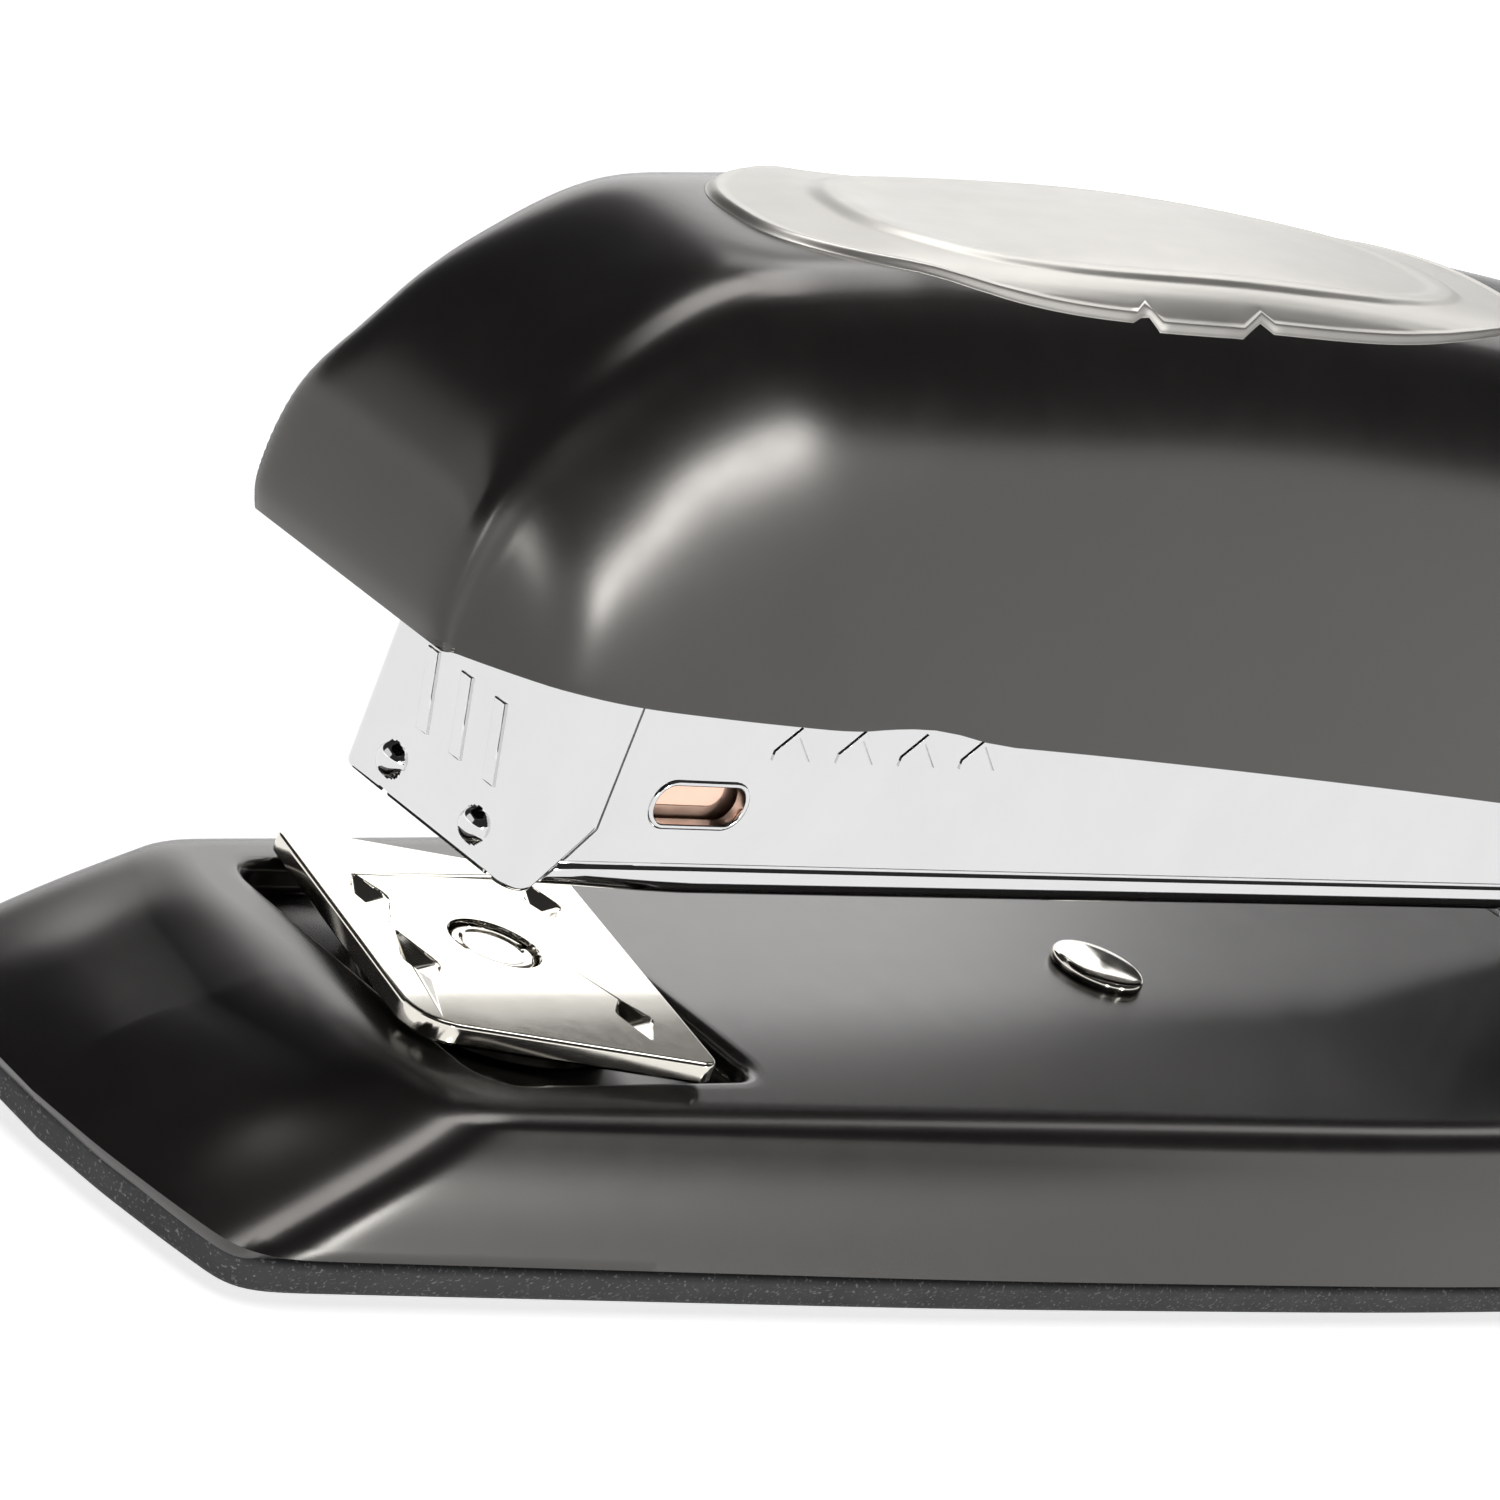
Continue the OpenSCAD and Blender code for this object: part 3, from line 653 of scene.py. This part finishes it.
def make_pad():
    """Rubber pad with a rounded foot, set in under the shell, and the button's hole."""
    levels = [(-2.1, 0.0), (-1.75, 0.1), (-1.5, 0.4), (-1.15, 1.4), (-0.75, 2.1), (-0.85, 2.45),
              (-1.2, pad_height), (-3.6, pad_height), (-3.7, pad_height + 1.2)]
    rings = []
    for grow, z in levels:
        line = whole(half_outline(low_outline, grow))
        rings.append(np.column_stack([line * MM + [deck_origin[0], 0], np.full(len(line), z * MM)]))
    points, faces = loft(rings)
    pad = new_object("pad_moulding", points, faces)
    cut(pad, turned("button_hole", [(7.5, -20), (7.5, 5)], (0, 0)))
    smooth_shade(pad)
    soften(pad, 0.12, 2, 50)
    return adopt(pad, rubber, "base", "pad_rubber", "base_pad")


make_base()
make_pad()


# ---------------------------------------------------------------- anvil and rivets

anvil_size = (20.4, 24.6)
anvil_under = 0.3
anvil_turn_deg = -16.5
groove_wide = 2.5
groove_deep = 0.85


def anvil_outline(grow):
    """Rounded outline of the plate, turned to its rest position."""
    hx, hy = anvil_size[0] / 2, anvil_size[1] / 2
    corners = [(hx, hy, 1.2, 0), (-hx, hy, 1.4, 90), (-hx, -hy, 3.0, 180), (hx, -hy, 1.2, 270)]
    turn = math.radians(anvil_turn_deg)
    pts = []
    for cx, cy, r, start in corners:
        ox, oy = cx - math.copysign(r, cx), cy - math.copysign(r, cy)
        for a in np.radians(np.linspace(start, start + 90, 12)):
            x, y = ox + (r + grow) * math.cos(a), oy + (r + grow) * math.sin(a)
            pts.append((x * math.cos(turn) - y * math.sin(turn), x * math.sin(turn) + y * math.cos(turn)))
    return pts


def groove_cutter(name, x, y0, y1):
    """A clinch groove: steep on its -X side, gently rising on the other, pointed at both ends."""
    turn = math.radians(anvil_turn_deg)
    rings = []
    for t in np.linspace(0, 1, 17):
        y = y0 + (y1 - y0) * t
        swell = min(1.0, (0.04 + t) * 2.6) * min(1.0, (1.04 - t) * 1.7)
        wide, deep = groove_wide * swell, groove_deep * swell
        left = x - 0.45 * wide
        profile = [(left, 0.3), (left + 0.02, 0.0)]
        for u in np.linspace(0.08, 1, 10):
            fall = ease(u / 0.22) if u < 0.22 else 1 - ease((u - 0.22) / 0.95)
            profile.append((left + wide * u, -deep * fall * (1 - u * 0.15)))
        profile.append((left + wide + 0.05, 0.3))
        ring = []
        for px, pz in profile:
            ring.append((px * math.cos(turn) - y * math.sin(turn), px * math.sin(turn) + y * math.cos(turn),
                         anvil_top + pz))
        rings.append(on_deck(ring))
    points, faces = loft(rings)
    return new_object(name, points, faces)


def make_anvil():
    """The plate with its four clinch grooves and the post's hole, on a hub in the recess."""
    r = 0.28
    levels = [(-r, anvil_under), (0, anvil_under + r)]
    levels += [(-r * (1 - math.cos(a)), anvil_top - r * (1 - math.sin(a)))
               for a in np.radians(np.linspace(0, 90, 6))]
    rings = [on_deck([(x, y, z) for x, y in anvil_outline(g)]) for g, z in levels]
    points, faces = loft(rings)
    plate = new_object("anvil_pressing", points, faces)
    cutters = [groove_cutter("groove_a", -6.9, 6.8, 0.5), groove_cutter("groove_b", -6.9, -6.8, -0.5),
               groove_cutter("groove_c", 6.3, 5.2, 10.2), groove_cutter("groove_d", 6.3, -5.2, -10.2),
               turned("hole", [(2.9, 0), (2.9, anvil_top - 0.12), (3.02, anvil_top), (3.02, 3)], (0, 0))]
    cut(plate, *cutters)
    hub = turned("hub", [(2.5, -recess_depth + 0.1), (8.6, -recess_depth + 0.1), (8.8, -recess_depth + 0.3),
                         (8.8, anvil_under + 0.02), (2.5, anvil_under + 0.02)], (0, 0))
    cut(hub, turned("bore", [(2.46, -5), (2.46, 5)], (0, 0)))
    join(plate, hub)
    smooth_shade(plate)
    soften(plate, 0.05, 2, 40)
    return adopt(plate, nickel, "anvil_plate", "nickel", "anvil")


def make_post():
    """Post with a flat head in a turned groove, seen through the anvil's hole."""
    top = anvil_top - 0.22
    profile = [(2.4, -9), (2.4, -6.5), (4.4, -6.4), (4.4, -5.8), (3.4, -5.7), (3.4, -2.0), (2.4, -1.9),
               (2.4, top - 0.5), (2.62, top - 0.42), (2.66, top - 0.12), (2.55, top - 0.02), (2.35, top),
               (2.1, top - 0.02), (2.0, top - 0.1), (1.85, top - 0.12), (0.02, top - 0.06)]
    post = turned("post_turning", profile, (0, 0))
    notches = [block("notch_a", (-3, -0.28, top - 0.3), (-2.05, 0.28, top + 1)),
               block("notch_b", (2.05, -0.28, top - 0.3), (3, 0.28, top + 1))]
    cut(post, *notches)
    smooth_shade(post)
    soften(post, 0.04, 2, 40)
    return adopt(post, nickel, "anvil_stem", "nickel", "anvil_post")


def make_base_rivet():
    """Flat rivet with a crowned head and a rolled edge."""
    lo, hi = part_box("base_rivet")
    x = deck_of((lo + hi) / 2)[0]
    profile = [(2.6, -6.3), (2.6, -5.7), (1.6, -5.7), (1.6, 0.0), (3.15, 0.02), (3.3, 0.2), (3.3, 0.5),
               (3.22, 0.68), (3.05, 0.8), (2.8, 0.86), (1.6, 0.93), (0.02, 0.96)]
    rivet = turned("rivet_head", profile, (x, 0))
    smooth_shade(rivet)
    soften(rivet, 0.05, 2, 50)
    return adopt(rivet, nickel, "base", "nickel", "base_rivet")


make_anvil()
make_post()
make_base_rivet()


# ---------------------------------------------------------------- nose

nose_back = -4.58
nose_y = channel_y + channel_sheet
bend_r = 1.3
hem_r = 0.45
rib_half = (0.5, 2.3)
rib_lean = 0.3
rib_middle = 16.6
flap_slope = 1.18
flap_corner = (nose_front + 1.7, channel_low + (nose_back - nose_front - 1.7) * flap_slope)


def nose_plan():
    """Outer line of the folded nose, seen from above, from the far flap round to the near one."""
    far_flap = [(x, nose_y) for x in np.linspace(nose_back, nose_front + bend_r, 9)]
    bend = [(nose_front + bend_r - bend_r * math.sin(a), nose_y - bend_r + bend_r * math.cos(a))
            for a in np.radians(np.linspace(7.5, 90, 12))]
    face = [(nose_front, y) for y in np.linspace(nose_y - bend_r, 0, 62)[1:]]
    half = far_flap + bend + face
    return np.array(half + [(x, -y) for x, y in half[-2::-1]])


def face_relief(y, z):
    """Outward relief of the nose's front: two round dimples."""
    out = 0.0
    for centre in (-4, 4):
        d = math.hypot(y - centre, z - (channel_low + 2.15)) / 1.08
        if d < 1:
            out = max(out, 0.85 * math.sqrt(1 - d * d))
    return out


def nose_rib(centre):
    """A raised slanted rib on the nose's front."""
    rings = []
    for x, shrink in ((nose_front + 0.3, 0), (nose_front - 0.12, 0), (nose_front - 0.2, 0.12)):
        ring = []
        for side, end in ((-1, -1), (1, -1), (1, 1), (-1, 1)):
            along = end * (rib_half[1] - shrink)
            across = side * (rib_half[0] - shrink)
            ring.append((x, centre + along * rib_lean + across, rib_middle + along))
        rings.append(on_deck(ring))
    points, faces = loft(rings)
    return new_object("nose_rib", points, faces)


def make_nose():
    """The folded nose: hemmed lower edge, dimples, lip notches and ribs."""
    plan = nose_plan()
    along = np.gradient(plan, axis=0)
    inward = np.stack([along[:, 1], -along[:, 0]], 1) / np.linalg.norm(along, axis=1)[:, None]
    inward *= np.sign(np.sum(inward * ([0, 0] - plan), axis=1))[:, None]
    heights = np.concatenate([np.linspace(0, hem_r / 15, 7)[:-1], np.linspace(hem_r / 15, 1, 112)])
    rows = []
    for share in heights:
        row = []
        for (x, y), (nx, ny) in zip(plan, inward):
            low = channel_low + max(0.0, x - flap_corner[0]) * flap_slope
            z = low + (channel_high - low) * share
            curl = max(0.0, 1 - (z - low) / hem_r)
            tuck = hem_r * (1 - math.sqrt(1 - curl * curl)) * 0.8
            out = face_relief(y, z) if x <= nose_front + 1e-6 else 0.0
            row.append((x - out + nx * tuck, y + ny * tuck, z))
        rows.append(on_deck(row))
    nose = new_object("nose_pressing", np.concatenate(rows), grid_faces(len(rows), len(plan)), closed=False)
    face_away_from(nose, on_deck([(0, 0, 17)])[0])
    thicken(nose, channel_sheet - 0.03)
    cut(nose, *[block("lip_notch", (nose_front - 2, y, 5), (nose_front + 2, y + 0.8, channel_low + 0.35))
                for y in (-6.7, 3.4)])
    join(nose, *[nose_rib(y) for y in (-3.2, 0, 3.2)])
    smooth_shade(nose)
    soften(nose, 0.08, 2, 40)
    return adopt(nose, chrome, "magazine", "chrome", "nose_plate")


make_nose()


# ---------------------------------------------------------------- magazine

window = (3.95, 15.15)
window_half = (3.7, 1.25)
flange_drop = 0.75
flange_r = 1.45
crease_low = 10.6
anvil_gap = 0.08
magazine_front = nose_front + channel_sheet + 0.12
magazine_rear = hinge[0] + 4.5
channel_stations = (magazine_front, -6, -3, 0, 3, 6, 20, 60, 100, magazine_rear)


def slot_outline(grow, steps=16):
    """Rounded slot in XZ round the side window."""
    r = window_half[1] + grow
    reach = window_half[0] - window_half[1]
    pts = []
    for side, start in ((1, -90), (-1, 90)):
        for a in np.radians(np.linspace(start, start + 180, steps)):
            pts.append((window[0] + side * reach + r * math.cos(a), window[1] + r * math.sin(a)))
    return pts


def channel_floor(x):
    """Underside of the channel at x. Near the nose it stays clear of the anvil when pressed down."""
    pressed = math.tan(-math.radians(joints["magazine_swing"]["range_deg"][0]))
    clear = anvil_top + anvil_gap + (hinge[0] - x) * pressed
    return max(channel_low - flange_drop, min(channel_low, clear))


def channel_section(low):
    """Closed section of the channel: its outer line round the bottom, and back along the inside."""
    r = min(flange_r, crease_low - low)
    line = [(channel_y, z) for z in (channel_high, 20, 14, 11.5)]
    line += [(channel_y - 0.02, 11.3), (channel_y - 0.18, 11.18), (channel_y - 0.18, 11.0)]
    line += [(channel_y - 0.04, 10.86), (channel_y, 10.7)]
    centre = (channel_y - r, low + r)
    line += [(centre[0] + r * math.cos(a), centre[1] - r * math.sin(a))
             for a in np.radians(np.linspace(0, 90, 14))]
    line += [(4, low), (0, low)]
    inner_y = channel_y - channel_sheet
    inner_low = low + channel_sheet
    inside = [(0, inner_low), (4, inner_low), (inner_y - 0.6, inner_low)]
    inside += [(inner_y - 0.18, inner_low + 0.18), (inner_y, inner_low + 0.6), (inner_y, channel_high)]
    outer = [(-y, z) for y, z in line[:-1]] + line[::-1]
    inner = inside[::-1] + [(-y, z) for y, z in inside[1:]]
    return outer + inner


def window_rim(side):
    """Raised lip round the side window, on one side."""
    rings = []
    for grow, out in ((0.0, -0.5), (0.0, 0.08), (0.08, 0.14), (0.24, 0.14), (0.34, 0.06), (0.36, -0.3)):
        rings.append(on_deck([(x, side * (channel_y + out), z) for x, z in slot_outline(grow)]))
    points = np.concatenate(rings)
    n = len(rings[0])
    faces = grid_faces(len(rings), n, wrap=True)
    faces += [(j, (j + 1) % n, len(points) - n + (j + 1) % n, len(points) - n + j) for j in range(n)]
    return new_object("window_rim", points, faces)


def lift_marks(side):
    """Embossed chevrons that point up, where the cap is lifted for loading."""
    marks = []
    for k in range(4):
        x = 10 + 5.5 * k
        outline = [(x - 1.6, 18.3), (x, 19.9), (x + 1.6, 18.3), (x + 1.6, 18.9), (x, 20.5), (x - 1.6, 18.9)]
        y0, y1 = sorted((side * (channel_y - 0.3), side * (channel_y + 0.1)))
        marks.append(prism("mark", outline, y0, y1))
    return marks


def make_magazine():
    """The channel with its side windows, embossed marks and the seams behind the nose's flaps."""
    rings = [on_deck([(x, y, z) for y, z in channel_section(channel_floor(x))])
             for x in channel_stations]
    points, faces = loft(rings)
    channel = new_object("magazine_channel", points, faces)
    corner = [(hinge[0] - 4, 60), (hinge[0] - 4, channel_high), (magazine_rear, hinge[2] + 1.5),
              (200, hinge[2] + 1.5), (200, 60)]
    front_floor = block("front_floor", (-30, -6.7, 5), (-6.8, 6.7, 60))
    front_corner = [(-30, 5), (-6.2, 5), (-8.0, channel_low + 0.1), (-30, channel_low + 0.1)]
    seam = [(nose_back + 0.95, 40), (nose_back + 0.95, flap_corner[1]), (flap_corner[0] + 1, channel_low),
            (flap_corner[0] + 1.25, channel_low), (nose_back + 1.13, flap_corner[1] - 0.08),
            (nose_back + 1.13, 40)]
    cut(channel, prism("window_slot", slot_outline(0.04), -20, 20), prism("rear_corner", corner, -20, 20),
        front_floor, prism("front_corner", front_corner, -20, 20),
        prism("near_seam", seam, -20, -channel_y + 0.3), prism("far_seam", seam, channel_y - 0.3, 20))
    join(channel, window_rim(1), window_rim(-1), *lift_marks(1), *lift_marks(-1))
    smooth_shade(channel)
    soften(channel, 0.06, 2, 45)
    return adopt(channel, chrome, "magazine", "chrome", "magazine")


tongue_half = 6.5
tongue_low, tongue_high = 14.65, 17.0
tongue_r = 1.0


def make_follower():
    """Copper follower: saddle, spring lug, and a rounded tongue on each side, seen in the windows."""
    saddle = block("follower_saddle", (-7, -6.15, 11.0), (9, 6.15, 17.2))
    cut(saddle, block("rail_way", (-20, -5.8, 5), (20, 5.8, 16.4)))
    lug = block("lug", (2, -3, 16.9), (6, 3, 22.6))
    tongues = []
    for side in (-1, 1):
        corner = [(tongue_half - tongue_r + tongue_r * math.cos(a),
                   tongue_low + tongue_r + tongue_r * math.sin(a))
                  for a in np.radians(np.linspace(-90, 0, 10))]
        outline = [(-tongue_half, tongue_low)] + corner
        outline += [(tongue_half, tongue_high), (-tongue_half, tongue_high)]
        y0, y1 = sorted((side * 6.0, side * 6.66))
        tongues.append(prism("tongue", outline, y0, y1))
    join(saddle, lug, *tongues)
    smooth_shade(saddle)
    soften(saddle, 0.12, 3, 40)
    return adopt(saddle, copper, "follower", "copper", "pusher")


coil_start = 6.05
coil_length = 127.9
coil_turns = 34
coil_axis_z = 20
coil_radius = 2.15
coil_wire = 0.28


def make_coil():
    """Coil spring behind the follower."""
    rings = []
    for turn in np.linspace(0, coil_turns, coil_turns * 14 + 1):
        a = 2 * math.pi * turn
        middle = coil_start + coil_wire + (coil_length - 2 * coil_wire) * turn / coil_turns
        ring = []
        for w in np.radians(np.arange(0, 360, 60)):
            r = coil_radius + coil_wire * math.cos(w)
            ring.append((middle + coil_wire * math.sin(w), r * math.cos(a),
                         coil_axis_z + r * math.sin(a)))
        rings.append(on_deck(ring))
    points, faces = loft(rings)
    coil = new_object("follower_coil", points, faces)
    smooth_shade(coil)
    adopt(coil, spring_steel, "follower", "spring_steel", "pusher_spring")
    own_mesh(coil)


make_magazine()
make_follower()
make_coil()


# ---------------------------------------------------------------- carried-over CAD pieces

def dress(node, material, width):
    """Gives a CAD node its material and soft edges."""
    obj = frame["nodes"][node]
    obj.data.materials.clear()
    obj.data.materials.append(material)
    smooth_shade(obj)
    soften(obj, width)


for node, material, slot, width in (
        ("anvil_leaf", spring_steel, "spring_steel", 0.12), ("anvil_button", nickel, "nickel", 0.35),
        ("hinge_bracket", zinc, "zinc_steel", 0.25), ("bracket_rivets", zinc, "zinc_steel", 0.15),
        ("hinge_pin", nickel, "zinc_steel", 0.2), ("lift_leaf", spring_steel, "spring_steel", 0.12),
        ("inner_rail", zinc, "zinc_steel", 0.12), ("rear_block", zinc, "zinc_steel", 0.2),
        ("block_rivets", zinc, "zinc_steel", 0.12), ("guide_rod", spring_steel, "spring_steel", 0.15),
        ("cap_frame", zinc, "zinc_steel", 0.15),
        ("driver_blade", spring_steel, "spring_steel", 0.08),
        ("driver_rivets", zinc, "zinc_steel", 0.1), ("cap_leaf", spring_steel, "spring_steel", 0.12),
        ("frame_posts", zinc, "zinc_steel", 0.1)):
    dress(node, material, width)


# ---------------------------------------------------------------- camera

camera_azimuth = -49.12
camera_elevation = 17.585
camera_roll = 21.963
camera_lens = 128.57
camera_place = (-218.878, -202.369, 113.279)


def make_camera():
    """The camera stands in the deck frame, rolled about its own line of sight."""
    a, e, r = (math.radians(v) for v in (camera_azimuth, camera_elevation, camera_roll))
    back = np.array([math.sin(a) * math.cos(e), -math.cos(a) * math.cos(e), math.sin(e)])
    right = np.cross(-back, [0, 0, 1])
    right /= np.linalg.norm(right)
    up = np.cross(right, -back)
    side = math.cos(r) * right + math.sin(r) * up
    top = math.cos(r) * up - math.sin(r) * right
    axes = [v[0] * deck_along + v[1] * np.array([0, 1, 0]) + v[2] * deck_up for v in (side, top, back)]
    data = bpy.data.cameras.new("camera")
    data.lens = camera_lens
    data.sensor_width = 36
    data.clip_start = 0.01
    data.clip_end = 20
    camera = bpy.data.objects.new("camera", data)
    bpy.context.scene.collection.objects.link(camera)
    m = Matrix([[axes[0][i], axes[1][i], axes[2][i], 0] for i in range(3)] + [[0, 0, 0, 1]])
    m.translation = Vector(on_deck([camera_place])[0])
    camera.matrix_world = m
    bpy.context.scene.camera = camera


make_camera()


# ---------------------------------------------------------------- stage and light

def stage_material(name, colour, glow):
    """Matt paint that also glows a little, so that the backdrop comes out white."""
    return new_material(name, Roughness=0.9, Base_Color=(*colour, 1),
                        Emission_Color=(1, 1, 1, 1), Emission_Strength=glow)


floor_r = 1.5
cove_r = 0.2
wall_top = 0.26


def make_cove():
    """White floor that curves up into a low white wall all round. Sizes are in metres."""
    profile = [(0.02, 0.0), (0.3, 0.0), (0.7, 0.0), (1.2, 0.0), (floor_r, 0.0)]
    profile += [(floor_r + cove_r * math.sin(a), cove_r - cove_r * math.cos(a))
                for a in np.radians(np.linspace(10, 90, 9))]
    turns = np.linspace(0, 2 * np.pi, 96, endpoint=False)
    rows = [[(r * math.cos(t), r * math.sin(t), z) for t in turns] for r, z in profile]
    wall_r = floor_r + cove_r
    rows.append([(wall_r * math.cos(t), wall_r * math.sin(t), wall_top) for t in turns])
    faces = grid_faces(len(rows), len(turns), wrap=True)
    faces.append(tuple(reversed(range(len(turns)))))
    cove = new_object("stage_cove", np.concatenate(rows), faces, closed=False)
    face_away_from(cove, (0, 0, -3))
    smooth_shade(cove)
    cove.data.materials.append(stage_material("stage_white", (0.82, 0.82, 0.82), 0.76))


def soft_box(name, azimuth, elevation, distance, size, radiance, floor_too=False):
    """A soft box that faces the stapler. Azimuth 0 stands at -Y, and 90 at +X.

    Without floor_too it is seen only in reflections, so that it casts no shadow on the floor.
    """
    a, e = math.radians(azimuth), math.radians(elevation)
    data = bpy.data.lights.new(name, "AREA")
    data.shape = "RECTANGLE"
    data.size, data.size_y = size
    data.energy = 4 * size[0] * size[1] * radiance
    light = bpy.data.objects.new(name, data)
    light.visible_diffuse = floor_too
    bpy.context.scene.collection.objects.link(light)
    aim = Vector((math.sin(a) * math.cos(e), -math.cos(a) * math.cos(e), math.sin(e)))
    light.location = Vector((-0.02, 0, 0.03)) + aim * distance
    light.rotation_euler = aim.to_track_quat("Z", "Y").to_euler()


def make_world(strength):
    """A nearly dark surround, so that the paint reflects only the boxes and the cove."""
    world = bpy.data.worlds.new("studio_dark")
    world.use_nodes = True
    world.node_tree.nodes["Background"].inputs["Color"].default_value = (1, 1, 1, 1)
    world.node_tree.nodes["Background"].inputs["Strength"].default_value = strength
    bpy.context.scene.world = world


make_cove()
make_world(0.03)
# Soft boxes: name, azimuth, elevation, distance, size and radiance.
soft_box("top_box", 0, 88, 1.6, (0.8, 0.8), 4.0, floor_too=True)
for box in (("right_box", 84, 66, 1.5, (1.1, 0.5), 3.6),
            ("high_box", 135, 50, 1.5, (0.6, 0.4), 1.8),
            ("fill_box", 106, 36, 1.5, (1.0, 0.75), 1.5),
            ("back_box", 148.5, 22, 1.6, (1.2, 0.75), 1.6),
            ("left_box", -112, 20, 1.6, (1.5, 0.8), 0.65),
            ("wide_strip", 24, 4, 1.3, (0.13, 0.32), 24.0),
            ("thin_strip", -14, 6, 1.3, (0.10, 0.30), 9.0)):
    soft_box(*box)
bpy.context.scene.view_settings.view_transform = "Standard"
